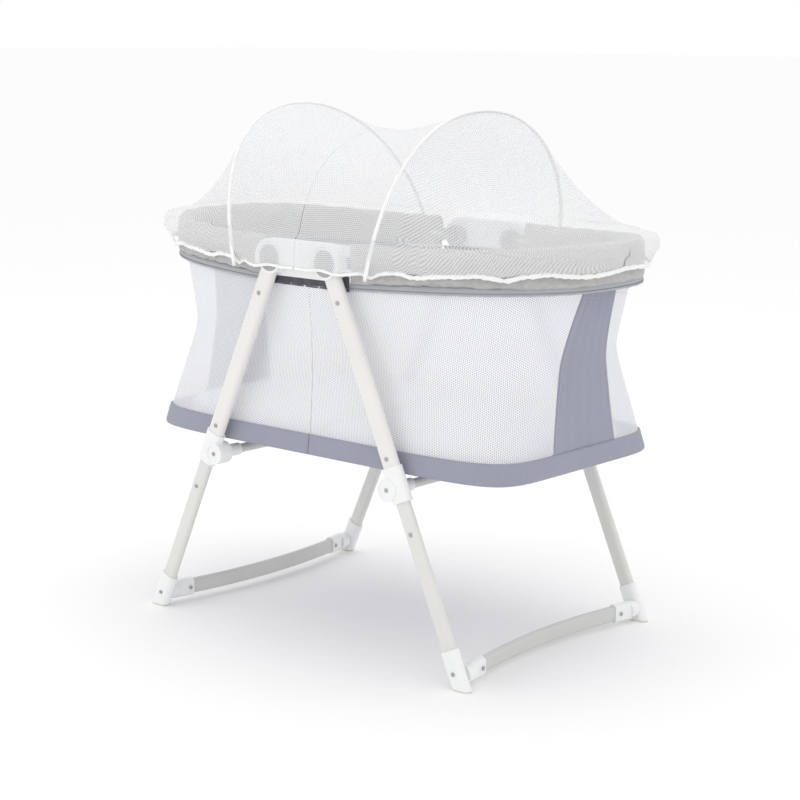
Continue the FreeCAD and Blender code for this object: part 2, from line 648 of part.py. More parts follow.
def rivet_hole(y):
    start = Vector(ROCKER_X - RIVET_HOLE_INWARD, y, ROCKER_Z)
    return Part.makeCylinder(SCREW_SHANK_RADIUS, RIVET_HOLE, start, X_AXIS)


def rocker_knuckle():
    """Front knuckle: a sleeve on the bar's end and the round knob that turns on the foot."""
    skin = 2 * COLLAR_SKIN
    sleeve = rocker_sweep(ROCKER_HEIGHT + skin, ROCKER_THICK + skin, -COLLAR_TO, -COLLAR_FROM)
    knob_outer = LEG_PLANE_Y - LOWER_THICK / 2 - FOOT_SKIN - GAP
    knob = round_y(KNOB_RADIUS, -knob_outer, -COLLAR_TO + KNOB_OVERLAP, ROCKER_X, ROCKER_Z)
    socket = rocker_sweep(ROCKER_HEIGHT + 2 * SNUG, ROCKER_THICK + 2 * SNUG,
                          -ROCKER_HALF_BAR - SNUG, -COLLAR_FROM + GAP)
    return sleeve.fuse(knob).cut(socket).cut(rivet_hole(-ROCKER_SCREW_Y))


def rocker_rivet():
    """Rivet through the sleeve and the bar, with a head on each side."""
    middle = rocker_arc_x(ROCKER_SCREW_Y)
    half = ROCKER_THICK / 2 + COLLAR_SKIN + RIVET_PROUD
    start = Vector(middle - half - SCREW_HEAD, -ROCKER_SCREW_Y, ROCKER_Z)
    shank = Part.makeCylinder(SCREW_SHANK_RADIUS, 2 * (half + SCREW_HEAD), start, X_AXIS)
    for x in (middle - half - SCREW_HEAD, middle + half):
        head = Part.makeCylinder(SCREW_HEAD_RADIUS, SCREW_HEAD, Vector(x, -ROCKER_SCREW_Y, ROCKER_Z), X_AXIS)
        shank = shank.fuse(head)
    return shank


def build_rockers():
    bar = rocker_sweep(ROCKER_HEIGHT, ROCKER_THICK, -ROCKER_HALF_BAR, ROCKER_HALF_BAR)
    inner = 2 * TUBE_WALL
    hollow = rocker_sweep(ROCKER_HEIGHT - inner, ROCKER_THICK - inner, -ROCKER_HALF_BAR, ROCKER_HALF_BAR)
    bar = bar.cut(hollow)
    for y in (-ROCKER_SCREW_Y, ROCKER_SCREW_Y):
        bar = bar.cut(rivet_hole(y))
    knuckle = rocker_knuckle()
    rivet = rocker_rivet()
    for side_name, side in SIDES:
        write("rocker_bar_" + side_name, mirrored(bar, side, -1))
        write("rocker_knuckles_" + side_name, group([mirrored(knuckle, side, end) for _, end in ENDS]))
        write("rocker_rivets_" + side_name, group([mirrored(rivet, side, end) for _, end in ENDS]))


# ---------------------------------------------------------------- net
def arch_point(turn, half_width, height, power):
    """Across and up, on an arch that goes from the front (turn 0) to the back (turn pi)."""
    c = math.cos(turn)
    s = math.sin(turn)
    return half_width * math.copysign(abs(c) ** (2 / power), -c), height * s ** (2 / power)


def bow_point(turn, over):
    """A point of the right-hand bow's arch, or of the line at a distance over it."""
    y, rise = arch_point(turn, BOW_HALF_WIDTH + over, BOW_HEIGHT + over, BOW_POWER)
    return BOW_TIP_X + BOW_LEAN * rise, y - BOW_SKEW * rise ** 2 / BOW_HEIGHT, BOW_TIP_Z + rise


def edge_point(turn):
    """Where the thread of net that crosses the ridge at this turn reaches the rim's end."""
    half_x, half_y, power = inset(NET_PLAN, NET_EDGE_INSET)
    tip = math.atan2((1 - (BOW_TIP_X / half_x) ** power) ** (1 / power), BOW_TIP_X / half_x)
    angle = tip * (2 * turn / math.pi - 1)
    x, y = polar((1.0, 1.0, power), angle)
    return x * half_x, y * half_y, NET_EDGE_Z


def cloth_height(x, turn):
    """Across and up at x, on the thread that crosses the ridge at this turn; it sags a little."""
    ridge = bow_point(turn, NET_OVER_BOW)
    if x <= ridge[0]:
        share = (1 - x / ridge[0]) / 2
        y, z, sag = ridge[1], ridge[2], NET_SAG_MIDDLE
    else:
        edge = edge_point(turn)
        share = min(1.0, (x - ridge[0]) / (edge[0] - ridge[0]))
        y = ridge[1] + share * (edge[1] - ridge[1])
        z = ridge[2] + share * (edge[2] - ridge[2])
        sag = NET_SAG_OUTER
    return y, z - sag * 4 * share * (1 - share) * math.sin(turn)


def first_turn(x):
    """The first thread, counted from the front, that still reaches as far as x."""
    half_x, _, power = inset(NET_PLAN, NET_EDGE_INSET)
    if x <= BOW_TIP_X:
        return 0.0
    tip = math.atan2((1 - (BOW_TIP_X / half_x) ** power) ** (1 / power), BOW_TIP_X / half_x)
    here = math.atan2((1 - (x / half_x) ** power) ** (1 / power), x / half_x)
    return math.pi / 2 * (1 - here / tip)


def net_section(x, shrink):
    """Closed section of the net at x: up from the hem, over, and down to the hem again."""
    half_x, half_y, power = NET_PLAN
    half = half_y * (1 - (x / half_x) ** power) ** (1 / power)
    start = first_turn(x)
    skirt = [(half, NET_HEM_Z), (half, NET_EDGE_Z - 3 * NET_EDGE_ROUND),
             (half - NET_EDGE_INSET / 2, NET_EDGE_Z - NET_EDGE_ROUND)]
    line = [(-y, z) for y, z in skirt]
    for i in range(CURVE_STEPS + 1):
        y, z = cloth_height(x, start + (math.pi - 2 * start) * i / CURVE_STEPS)
        if z > NET_EDGE_Z - NET_EDGE_ROUND / 2 and line[-1][0] < y < skirt[-1][0]:
            line.append((y, z))
    line += reversed(skirt)
    across = (half - shrink) / half
    points = [Vector(x, y * across, max(NET_HEM_Z, z - shrink)) for y, z in line]
    curve = Part.BSplineCurve()
    curve.interpolate(points)
    return Part.Wire([curve.toShape(), Part.LineSegment(points[-1], points[0]).toShape()])


def net_half():
    """Thin shell, lofted right across the middle so that it is smooth there, then halved."""
    stations = sorted(set(NET_STATIONS + tuple(-x for x in NET_STATIONS)))
    layers = []
    for shrink in (0, NET_THICK):
        wires = []
        for x in stations:
            wire = net_section(abs(x), shrink)
            reach = (NET_END_X - shrink) / NET_END_X
            wire.translate(Vector(x * reach - abs(x), 0, 0))
            wires.append(wire)
        layers.append(Part.makeLoft(wires, True, False))
    return layers[0].cut(layers[1]).common(half_space(1, GAP))


def bow_rod():
    """Sprung rod that arches from the front of the rim to the back and leans outward."""
    points = []
    for i in range(CURVE_STEPS + 1):
        points.append(Vector(*bow_point(math.pi * i / CURVE_STEPS, 0)))
    path = Part.BSplineCurve()
    path.interpolate(points)
    section = Part.Wire([Part.Circle(points[0], path.tangent(path.FirstParameter)[0], BOW_RADIUS).toShape()])
    return Part.Wire([path.toShape()]).makePipeShell([section], True, True)


def build_net():
    half = net_half()
    rod = bow_rod()
    for side_name, side in SIDES:
        write("net_" + side_name, mirrored(half, side, -1))
    write("bow_rods", group([mirrored(rod, side, -1) for _, side in SIDES]))
    outer = inset(NET_PLAN, -HEM_THICK)
    write("net_hem", ring_slab(outer, NET_PLAN, NET_HEM_Z - HEM_HEIGHT, NET_HEM_Z - SNUG))


def build():
    os.makedirs("parts", exist_ok=True)
    build_stand()
    build_hub()
    build_rim()
    build_basket()
    build_rockers()
    build_net()


build()
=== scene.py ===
"""Looks of the folding bassinet: fabrics, net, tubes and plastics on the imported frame."""
import json
import math
import bpy
import bmesh
from mathutils import Matrix, Vector, noise


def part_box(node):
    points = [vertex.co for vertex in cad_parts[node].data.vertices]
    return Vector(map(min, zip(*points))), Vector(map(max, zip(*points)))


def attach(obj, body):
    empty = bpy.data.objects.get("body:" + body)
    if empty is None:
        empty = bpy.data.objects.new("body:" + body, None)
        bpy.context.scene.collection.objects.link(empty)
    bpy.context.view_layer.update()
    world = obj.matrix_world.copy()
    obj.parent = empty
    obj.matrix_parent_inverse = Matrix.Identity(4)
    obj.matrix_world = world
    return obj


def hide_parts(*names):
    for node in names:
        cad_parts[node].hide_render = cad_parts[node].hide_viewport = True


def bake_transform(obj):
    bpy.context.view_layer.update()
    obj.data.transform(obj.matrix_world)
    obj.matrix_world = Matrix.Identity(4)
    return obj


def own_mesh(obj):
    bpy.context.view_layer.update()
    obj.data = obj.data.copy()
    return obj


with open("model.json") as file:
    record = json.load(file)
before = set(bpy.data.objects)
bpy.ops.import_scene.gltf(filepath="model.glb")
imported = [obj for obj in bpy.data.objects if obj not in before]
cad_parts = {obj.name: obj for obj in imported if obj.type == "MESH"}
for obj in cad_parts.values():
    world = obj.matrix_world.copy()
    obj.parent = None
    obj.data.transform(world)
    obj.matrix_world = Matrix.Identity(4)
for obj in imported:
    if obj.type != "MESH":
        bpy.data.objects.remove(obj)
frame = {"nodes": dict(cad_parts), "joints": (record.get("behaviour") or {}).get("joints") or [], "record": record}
NODES = frame["nodes"]
JOINTS = {j["name"]: j for j in frame["joints"]}
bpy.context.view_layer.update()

# ---- sizes in metres; most follow the CAD model, the net's and the wall's upper edge are set here.
# A plan is a superellipse: half length, half width and the power that squares its corners.
PIVOT = Vector(JOINTS["right_rim_fold"]["pos_m"])
RIM_TILT = math.radians(2.0)
RIM_OUTER = (0.466, 0.246, 2.6)
RIM_INNER = (0.420, 0.222, 3.0)
RIM_TOP = 0.035
RIM_BOTTOM = 0.037
COVER_START = 0.096
ZIP_HEIGHT = 0.007
ZIP_INSET = 0.004
FLOOR_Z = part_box("base_band_right")[0].z
BAND_TOP = FLOOR_Z + 0.034
WALL_TOP = 0.6265
FLARE_FROM = 0.500      # above this the wall leaves its own plan for the zip's
FLARE_SHARE = 0.42      # how far it has gone at the top
FLARE_CURVE = 1.4
FLANGE_RISE = 0.001     # the hidden flange from the wall's top out to the zip
BASE_PLAN = (0.411, 0.236, 7.6)
WAIST_PLAN = (0.402, 0.228, 3.5)
TOP_PLAN = (0.418, 0.236, 3.4)
LEAST_POWER = 3.0       # the corners get no rounder than this
ZIP_CLEARANCE = 0.002   # between the flange and the middle of the zip
WALL_TUCK = 0.003       # the wall's lower edge lies this far inside the band
WAIST_Z = 0.480
PANEL_BOTTOM = 0.092
PANEL_TOP = 0.038
NET_PLAN = (0.484, 0.270, 2.7)
NET_HEM_Z = 0.655
NET_EDGE_Z = 0.717
NET_EDGE_INSET = 0.004
HEM_PLAN = (0.473, 0.2515, 2.65)
HUG_FROM = 0.118
BOW_TIP_X = 0.150
BOW_TIP_Z = 0.650
BOW_LEAN = 0.22
BOW_SKEW = 0.135
NET_BOW_HALF = 0.264
NET_BOW_HEIGHT = 0.269
BOW_POWER = 2.12
SAG_MIDDLE = 0.041
SAG_OUTER = 0.049
SEAM_X = 0.0006         # where the cloth of each half ends beside the middle
SIGNS = {"left": -1, "right": 1}
UP = Vector((0, 0, 1))


# ---------------------------------------------------------------- mesh helpers
def make_object(name, vertices, faces, surface, smooth_faces=True):
    mesh = bpy.data.meshes.new(name)
    mesh.from_pydata([tuple(v) for v in vertices], [], faces)
    mesh.validate()
    obj = bpy.data.objects.new(name, mesh)
    bpy.context.scene.collection.objects.link(obj)
    mesh.materials.append(surface)
    for face in mesh.polygons:
        face.use_smooth = smooth_faces
    return obj


def grid_faces(rows, columns, closed=False, start=0):
    """Quads of a grid stored row by row; closed joins the last column to the first."""
    faces = []
    for r in range(rows - 1):
        for c in range(columns if closed else columns - 1):
            d = (c + 1) % columns
            a = start + r * columns
            faces.append((a + c, a + d, a + columns + d, a + columns + c))
    return faces


def grid_object(name, rows, surface, closed=False):
    """A sheet from rows of points, with UVs that are distances in metres along rows and columns."""
    columns = len(rows[0])
    points = [p for row in rows for p in row]
    obj = make_object(name, points, grid_faces(len(rows), columns, closed), surface)
    across, along = [], []
    for r, row in enumerate(rows):
        run = 0.0
        for c, p in enumerate(row):
            run += (p - row[c - 1]).length if c else 0.0
            across.append(run)
            along.append(along[-columns] + (p - rows[r - 1][c]).length if r else 0.0)
    middle = [sum(across[r * columns:(r + 1) * columns]) / columns for r in range(len(rows))]
    layer = obj.data.uv_layers.new(name="weave")
    for loop in obj.data.loops:
        i = loop.vertex_index
        layer.data[loop.index].uv = (across[i] - middle[i // columns], along[i])
    return obj


def mirror_copy(obj, name):
    """The other half of a piece, by reflection in x = 0."""
    mesh = obj.data.copy()
    mesh.transform(Matrix.Scale(-1, 4, Vector((1, 0, 0))))
    mesh.flip_normals()
    other = bpy.data.objects.new(name, mesh)
    bpy.context.scene.collection.objects.link(other)
    return other


def both_sides(right, kind):
    """A right-hand piece and its mirror copy, each with the name of its side."""
    return ("left", mirror_copy(right, kind + "_left")), ("right", right)


def smooth(mesh):
    for face in mesh.polygons:
        face.use_smooth = True


def close_ends(obj, recalculate):
    """Fill the open ends of a tube; recalculate also turns every normal outward."""
    bm = bmesh.new()
    bm.from_mesh(obj.data)
    bmesh.ops.holes_fill(bm, edges=[e for e in bm.edges if e.is_boundary])
    if recalculate:
        bmesh.ops.recalc_face_normals(bm, faces=bm.faces)
    bm.to_mesh(obj.data)
    bm.free()


def superellipse(plan, angle):
    half_x, half_y, power = plan
    c, s = math.cos(angle), math.sin(angle)
    reach = (abs(c / half_x) ** power + abs(s / half_y) ** power) ** (-1 / power)
    return Vector((reach * c, reach * s, 0))


def grown(plan, margin):
    return plan[0] + margin, plan[1] + margin, plan[2]


def half_width(plan, x):
    half_x, half_y, power = plan
    return half_y * (1 - min(1.0, x / half_x) ** power) ** (1 / power)


def angle_at_x(plan, x):
    """Angle, from the +X axis, at which the outline is at x."""
    return math.atan2(half_width(plan, x), x)


def angle_at_y(plan, y):
    half_x, half_y, power = plan
    return math.atan2(y, half_x * (1 - (abs(y) / half_y) ** power) ** (1 / power))


def outward_from(plan, p):
    """Level direction out of the basket at a point of its outline."""
    return Vector((p.x / plan[0] ** 2, p.y / plan[1] ** 2, 0)).normalized()


def run_lengths(points):
    """Distance along the line from its first point to each point."""
    runs = [0.0]
    for i in range(len(points) - 1):
        runs.append(runs[-1] + (points[i + 1] - points[i]).length)
    return runs


def resample(points, count):
    """The same line with evenly spaced points."""
    runs = run_lengths(points)
    made, k = [], 0
    for i in range(count):
        target = runs[-1] * i / (count - 1)
        while k < len(points) - 2 and runs[k + 1] < target:
            k += 1
        share = (target - runs[k]) / max(1e-9, runs[k + 1] - runs[k])
        made.append(points[k].lerp(points[k + 1], min(1.0, share)))
    return made


def outline(plan, start, end, count):
    """Points spread evenly along the outline between two angles."""
    steps = 400
    return resample([superellipse(plan, start + (end - start) * i / steps) for i in range(steps + 1)], count)


def forward_at(points, i):
    """Direction of the line at point i."""
    return (points[min(i + 1, len(points) - 1)] - points[max(i - 1, 0)]).normalized()


def tilted(point):
    """A rim point made level, turned so that the free end stands a little high."""
    return PIVOT + Matrix.Rotation(-RIM_TILT, 3, "Y") @ (point - PIVOT)


def tube_along(name, points, radii, surface, around, across):
    """An oval tube: its first radius is square to the line and to across, its second to the first."""
    rows = []
    for i, p in enumerate(points):
        forward = forward_at(points, i)
        side = forward.cross(across).normalized()
        up = side.cross(forward).normalized()
        rows.append([p + side * radii[0] * math.cos(2 * math.pi * k / around)
                     + up * radii[1] * math.sin(2 * math.pi * k / around) for k in range(around)])
    obj = grid_object(name, rows, surface, closed=True)
    close_ends(obj, recalculate=False)
    smooth(obj.data)
    return obj


def add_modifier(obj, kind, **values):
    modifier = obj.modifiers.new(kind.lower(), kind)
    for key, value in values.items():
        setattr(modifier, key, value)
    return modifier


def apply_modifiers(obj):
    graph = bpy.context.evaluated_depsgraph_get()
    mesh = bpy.data.meshes.new_from_object(obj.evaluated_get(graph))
    obj.modifiers.clear()
    obj.data = mesh
    smooth(mesh)


# ---------------------------------------------------------------- materials
class Nodes:
    """A material's node tree with short calls for the nodes used here."""

    def __init__(self, name):
        self.material = bpy.data.materials.new(name)
        self.material.use_nodes = True
        self.tree = self.material.node_tree
        self.shader = self.tree.nodes["Principled BSDF"]

    def add(self, kind, **inputs):
        node = self.tree.nodes.new(kind)
        for key, value in inputs.items():
            key = key.replace("_", " ")
            if hasattr(value, "is_output"):
                self.tree.links.new(value, node.inputs[key])
            else:
                node.inputs[key].default_value = value
        return node

    def math(self, operation, first, second=None, third=None):
        node = self.tree.nodes.new("ShaderNodeMath")
        node.operation = operation
        for i, value in enumerate((first, second, third)):
            if value is None:
                continue
            if hasattr(value, "is_output"):
                self.tree.links.new(value, node.inputs[i])
            else:
                node.inputs[i].default_value = value
        return node.outputs[0]

    def place(self, source="Object", scale=(1, 1, 1), turn=0.0):
        where = self.tree.nodes.new("ShaderNodeTexCoord")
        mapping = self.tree.nodes.new("ShaderNodeMapping")
        mapping.inputs["Scale"].default_value = scale
        mapping.inputs["Rotation"].default_value = (0, 0, turn)
        self.tree.links.new(where.outputs[source], mapping.inputs["Vector"])
        return mapping.outputs[0]

    def noise(self, where, scale, detail=2.0, roughness=0.5):
        return self.add("ShaderNodeTexNoise", Vector=where, Scale=scale, Detail=detail,
                        Roughness=roughness).outputs[0]

    def ramp(self, factor, stops):
        node = self.tree.nodes.new("ShaderNodeValToRGB")
        while len(node.color_ramp.elements) < len(stops):
            node.color_ramp.elements.new(0.5)
        for element, (position, colour) in zip(node.color_ramp.elements, stops):
            element.position = position
            element.color = (*colour, 1)
        self.tree.links.new(factor, node.inputs[0])
        return node.outputs[0]

    def bump(self, height, distance, strength=1.0):
        node = self.add("ShaderNodeBump", Height=height, Distance=distance, Strength=strength)
        self.tree.links.new(node.outputs[0], self.shader.inputs["Normal"])

    def set(self, **inputs):
        for key, value in inputs.items():
            key = key.replace("_", " ")
            if hasattr(value, "is_output"):
                self.tree.links.new(value, self.shader.inputs[key])
            else:
                self.shader.inputs[key].default_value = value


def shade(colour, factor):
    return tuple(min(1.0, c * factor) for c in colour)


def painted(name, colour, roughness):
    """Powder-coated tube: nearly even colour, faint orange peel."""
    n = Nodes(name)
    where = n.place()
    cloudy = n.noise(where, 9.0, 3.0)
    n.set(Base_Color=n.ramp(cloudy, [(0.3, shade(colour, 0.97)), (0.7, shade(colour, 1.02))]))
    n.set(Roughness=roughness, Coat_Weight=0.25, Coat_Roughness=0.2)
    n.bump(n.noise(where, 700.0, 2.0), 0.0001, 0.25)
    return n.material


def moulded(name, colour, roughness):
    """Moulded plastic with a fine spark-eroded grain."""
    n = Nodes(name)
    where = n.place()
    cloudy = n.noise(where, 30.0, 3.0)
    n.set(Base_Color=n.ramp(cloudy, [(0.3, shade(colour, 0.985)), (0.7, shade(colour, 1.01))]))
    grain = n.noise(where, 1600.0, 2.0)
    n.set(Roughness=n.add("ShaderNodeMapRange", Value=grain, To_Min=roughness - 0.05,
                          To_Max=roughness + 0.05).outputs[0])
    n.bump(grain, 0.0001, 0.3)
    return n.material


def metal(name, colour, roughness):
    """Metal with fine brushed lines."""
    n = Nodes(name)
    where = n.place(scale=(1, 1, 6))
    brushed = n.noise(where, 900.0, 3.0)
    n.set(Base_Color=n.ramp(brushed, [(0.3, shade(colour, 0.85)), (0.7, shade(colour, 1.1))]))
    n.set(Metallic=1.0, Roughness=roughness)
    n.bump(brushed, 0.00005, 0.4)
    return n.material


def rubber(name, colour):
    """Dull speckled surface, for rubber and for board."""
    n = Nodes(name)
    speckle = n.noise(n.place(), 500.0, 4.0)
    n.set(Base_Color=n.ramp(speckle, [(0.3, shade(colour, 0.9)), (0.7, shade(colour, 1.06))]))
    n.set(Roughness=0.75)
    n.bump(speckle, 0.0002, 0.3)
    return n.material


def threads(n, where, pitch):
    """Height of a plain weave: warp and weft cross at the given pitch in metres."""
    turn = 2 * math.pi / pitch
    parts = n.add("ShaderNodeSeparateXYZ", Vector=where).outputs
    first = n.math("SINE", n.math("MULTIPLY", parts[0], turn))
    second = n.math("SINE", n.math("MULTIPLY", parts[1], turn))
    return n.math("MULTIPLY", first, second)


def woven(name, colour, pitch, source="UV", variation=0.06, sheen=0.2, roughness=0.85):
    """Plain woven cloth: threads as bump, slight slubs and faint colour drift."""
    n = Nodes(name)
    where = n.place(source)
    slub = n.noise(n.place(source, (1, 9, 1)), 260.0, 3.0)
    cross = n.noise(n.place(source, (9, 1, 1)), 260.0, 3.0)
    drift = n.noise(where, 14.0, 2.0)
    mixed = n.math("ADD", n.math("MULTIPLY", n.math("ADD", slub, cross), 0.35),
                   n.math("MULTIPLY", drift, 0.3))
    darker = shade(colour, 1 - variation)
    lighter = shade(colour, 1 + variation)
    n.set(Base_Color=n.ramp(mixed, [(0.35, darker), (0.65, lighter)]))
    n.set(Roughness=roughness, Sheen_Weight=sheen, Sheen_Roughness=0.5)
    weave = threads(n, where, pitch)
    n.bump(n.math("ADD", weave, n.math("MULTIPLY", slub, 0.6)), 0.00025, 0.5)
    return n.material


def melange(name, dark, light):
    """Heathered grey knit: short light and dark fibres mixed, in soft patches."""
    n = Nodes(name)
    fibres = n.noise(n.place("Object", (1, 1, 5)), 420.0, 4.0, 0.7)
    patches = n.noise(n.place("Object", (1, 1, 2)), 60.0, 3.0)
    mixed = n.math("ADD", n.math("MULTIPLY", fibres, 0.75), n.math("MULTIPLY", patches, 0.25))
    middle = tuple((a + b) / 2 for a, b in zip(dark, light))
    n.set(Base_Color=n.ramp(mixed, [(0.36, dark), (0.5, middle), (0.64, light)]))
    n.set(Roughness=0.92, Sheen_Weight=0.25, Sheen_Roughness=0.6)
    n.bump(n.math("ADD", fibres, n.math("MULTIPLY", patches, 0.5)), 0.0006, 0.5)
    return n.material


def net_cloth(name, colour, pitch, closed, opened):
    """Open net: hexagonal holes, more see-through than the threads between them."""
    n = Nodes(name)
    where = n.place("UV")
    parts = n.add("ShaderNodeSeparateXYZ", Vector=where).outputs
    turn = 2 * math.pi / pitch
    waves = []
    for angle in (0, math.pi / 3, 2 * math.pi / 3):
        along = n.math("ADD", n.math("MULTIPLY", parts[0], turn * math.cos(angle)),
                       n.math("MULTIPLY", parts[1], turn * math.sin(angle)))
        waves.append(n.math("COSINE", along))
    holes = n.math("ADD", n.math("ADD", waves[0], waves[1]), waves[2])
    share = n.add("ShaderNodeMapRange", Value=holes, From_Min=-1.2, From_Max=1.6,
                  To_Min=closed, To_Max=opened).outputs[0]
    n.set(Base_Color=(*colour, 1), Roughness=0.8, Sheen_Weight=0.1, Alpha=share)
    n.bump(n.math("MULTIPLY", holes, -0.3), 0.0002, 0.4)
    return n.material


def make_materials():
    return {
        "leg_paint_upper": painted("leg_paint_upper", (0.80, 0.79, 0.765), 0.36),
        "leg_paint_lower": painted("leg_paint_lower", (0.73, 0.725, 0.70), 0.36),
        "bar_paint": painted("bar_paint", (0.62, 0.615, 0.60), 0.38),
        "white_plastic": moulded("white_plastic", (0.87, 0.875, 0.875), 0.42),
        "grey_plastic": moulded("grey_plastic", (0.42, 0.42, 0.42), 0.5),
        "screw_steel": metal("screw_steel", (0.45, 0.45, 0.46), 0.32),
        "sole_rubber": rubber("sole_rubber", (0.72, 0.69, 0.60)),
        "rim_fabric": melange("rim_fabric", (0.32, 0.315, 0.31), (0.58, 0.575, 0.57)),
        "zip_tape": woven("zip_tape", (0.42, 0.435, 0.465), 0.0009, "Object"),
        "zip_teeth": moulded("zip_teeth", (0.19, 0.20, 0.22), 0.4),
        "mesh_fabric": net_cloth("mesh_fabric", (0.86, 0.865, 0.90), 0.0034, 0.92, 0.42),
        "panel_fabric": woven("panel_fabric", (0.335, 0.345, 0.43), 0.0008),
        "band_fabric": woven("band_fabric", (0.335, 0.34, 0.425), 0.0008),
        "dark_lining": woven("dark_lining", (0.11, 0.105, 0.125), 0.0010),
        "mattress_fabric": woven("mattress_fabric", (0.84, 0.845, 0.86), 0.0012, "Object", 0.03),
        "board": rubber("board", (0.40, 0.31, 0.21)),
        "net_fabric": net_cloth("net_fabric", (0.92, 0.925, 0.94), 0.0034, 0.72, 0.20),
        "hem_elastic": woven("hem_elastic", (0.93, 0.93, 0.935), 0.0012, "Object", 0.03),
        "bow_white": woven("bow_white", (0.95, 0.95, 0.95), 0.0008, "Object", 0.02),
        "thread": moulded("thread", (0.62, 0.63, 0.68), 0.7),
    }


# ---------------------------------------------------------------- frame parts
def dress_frame(materials):
    """Every CAD node that stays in view gets its slot's material and smooth shading by angle."""
    slots = {s["node"]: s["material_slot"] for s in frame["record"]["subparts"]}
    for name, obj in NODES.items():
        obj.data.materials.clear()
        obj.data.materials.append(materials[slots[name]])
        smooth(obj.data)
        add_modifier(obj, "EDGE_SPLIT", split_angle=math.radians(35))


# ---------------------------------------------------------------- rim
def cover_rows(count, around):
    """Sections of the padded rim on the right, flat-sided, with softer corners above than below."""
    start = angle_at_x(RIM_OUTER, COVER_START)
    outer = outline(RIM_OUTER, -start, start, count)
    start = angle_at_x(RIM_INNER, COVER_START)
    inner = outline(RIM_INNER, -start, start, count)
    half_height = (RIM_TOP + RIM_BOTTOM) / 2
    middle_z = PIVOT.z + (RIM_TOP - RIM_BOTTOM) / 2
    soft_above = 0.55
    soft_below = 0.26
    rows = []
    for o, i in zip(outer, inner):
        centre = (o + i) / 2
        reach = (o - i) / 2
        row = []
        for k in range(around):
            turn = 2 * math.pi * k / around
            c, s = math.cos(turn), math.sin(turn)
            soft = soft_above if s > 0 else soft_below
            side = math.copysign(abs(c) ** soft, c)
            up = math.copysign(abs(s) ** soft, s)
            point = centre + reach * side
            row.append(Vector((point.x, point.y, middle_z + half_height * up)))
        rows.append(row)
    return rows


def capped(name, rows, surface):
    obj = grid_object(name, rows, surface, closed=True)
    close_ends(obj, recalculate=True)
    return obj


def puff(obj, voxel, pressure, limit):
    """Fill a closed form by cloth simulation, with each point's movement capped."""
    add_modifier(obj, "REMESH", mode="VOXEL", voxel_size=voxel)
    apply_modifiers(obj)
    rest = [v.co.copy() for v in obj.data.vertices]
    cloth = obj.modifiers.new("cloth", "CLOTH")
    settings = cloth.settings
    settings.quality = 4
    settings.mass = 0.25
    settings.tension_stiffness = 12
    settings.compression_stiffness = 12
    settings.bending_stiffness = 0.6
    settings.use_pressure = True
    settings.uniform_pressure_force = pressure
    settings.effector_weights.gravity = 0
    last_frame = 20
    cloth.point_cache.frame_start = 1
    cloth.point_cache.frame_end = last_frame
    scene = bpy.context.scene
    for number in range(1, last_frame + 1):
        scene.frame_set(number)
    graph = bpy.context.evaluated_depsgraph_get()
    moved = [v.co.copy() for v in obj.evaluated_get(graph).data.vertices]
    obj.modifiers.clear()
    scene.frame_set(1)
    for v, before, after in zip(obj.data.vertices, rest, moved):
        step = after - before
        if step.length > limit:
            step *= limit / step.length
        v.co = before + step


def build_cover(materials):
    """Padded rim cover: puffed foam with soft dents all round and a crease low on its sides."""
    shrink = 0.0015
    crease_drop = 0.012
    crease_half = 0.02
    crease_depth = 0.0016
    dents_per_radian = 46
    obj = capped("rim_cover_soft_right", cover_rows(150, 28), materials["rim_fabric"])
    for v in obj.data.vertices:
        v.co = v.co - v.normal * shrink
    puff(obj, voxel=0.006, pressure=3.0, limit=0.004)
    for v in obj.data.vertices:
        angle = math.atan2(v.co.y, v.co.x)
        low = max(0.0, 1 - abs(v.co.z - PIVOT.z + crease_drop) / crease_half)
        dent = 0.0012 * math.sin(angle * dents_per_radian) + 0.0014 * noise.noise(v.co * 18)
        crease = -crease_depth * low
        v.co = v.co + v.normal * (dent * 0.7 + crease)
        v.co = tilted(v.co)
    add_modifier(obj, "SUBSURF", levels=1, render_levels=1)
    apply_modifiers(obj)
    for name, piece in both_sides(obj, "rim_cover_soft"):
        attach(piece, name + "_rim")
        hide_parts("rim_cover_" + name)


def zip_line(count, z):
    """Middle line of the zip on the right, before the rim's tilt."""
    plan = grown(RIM_OUTER, -ZIP_INSET)
    start = angle_at_x(plan, COVER_START)
    return [Vector((p.x, p.y, z)) for p in outline(plan, -start, start, count)]


def zip_tape_rows(z):
    """The tape's profile, as depth and height, carried along the zip; a groove holds the teeth."""
    half = ZIP_HEIGHT / 2
    profile = [(0.0014, -half - 0.001), (-0.0002, -half), (-0.0004, -0.0012), (0.0004, 0.0),
               (-0.0004, 0.0012), (-0.0002, half), (0.0010, half + 0.003), (0.0030, half + 0.006)]
    line = zip_line(200, z)
    rows = []
    for depth, height in profile:
        rows.append([])
        for i, p in enumerate(line):
            outward = forward_at(line, i).cross(UP)
            wave = 0.0006 * math.sin(i * 0.9) * (height / half)
            rows[-1].append(tilted(p - outward * depth + Vector((0, 0, height + wave * 0.4))))
    return rows


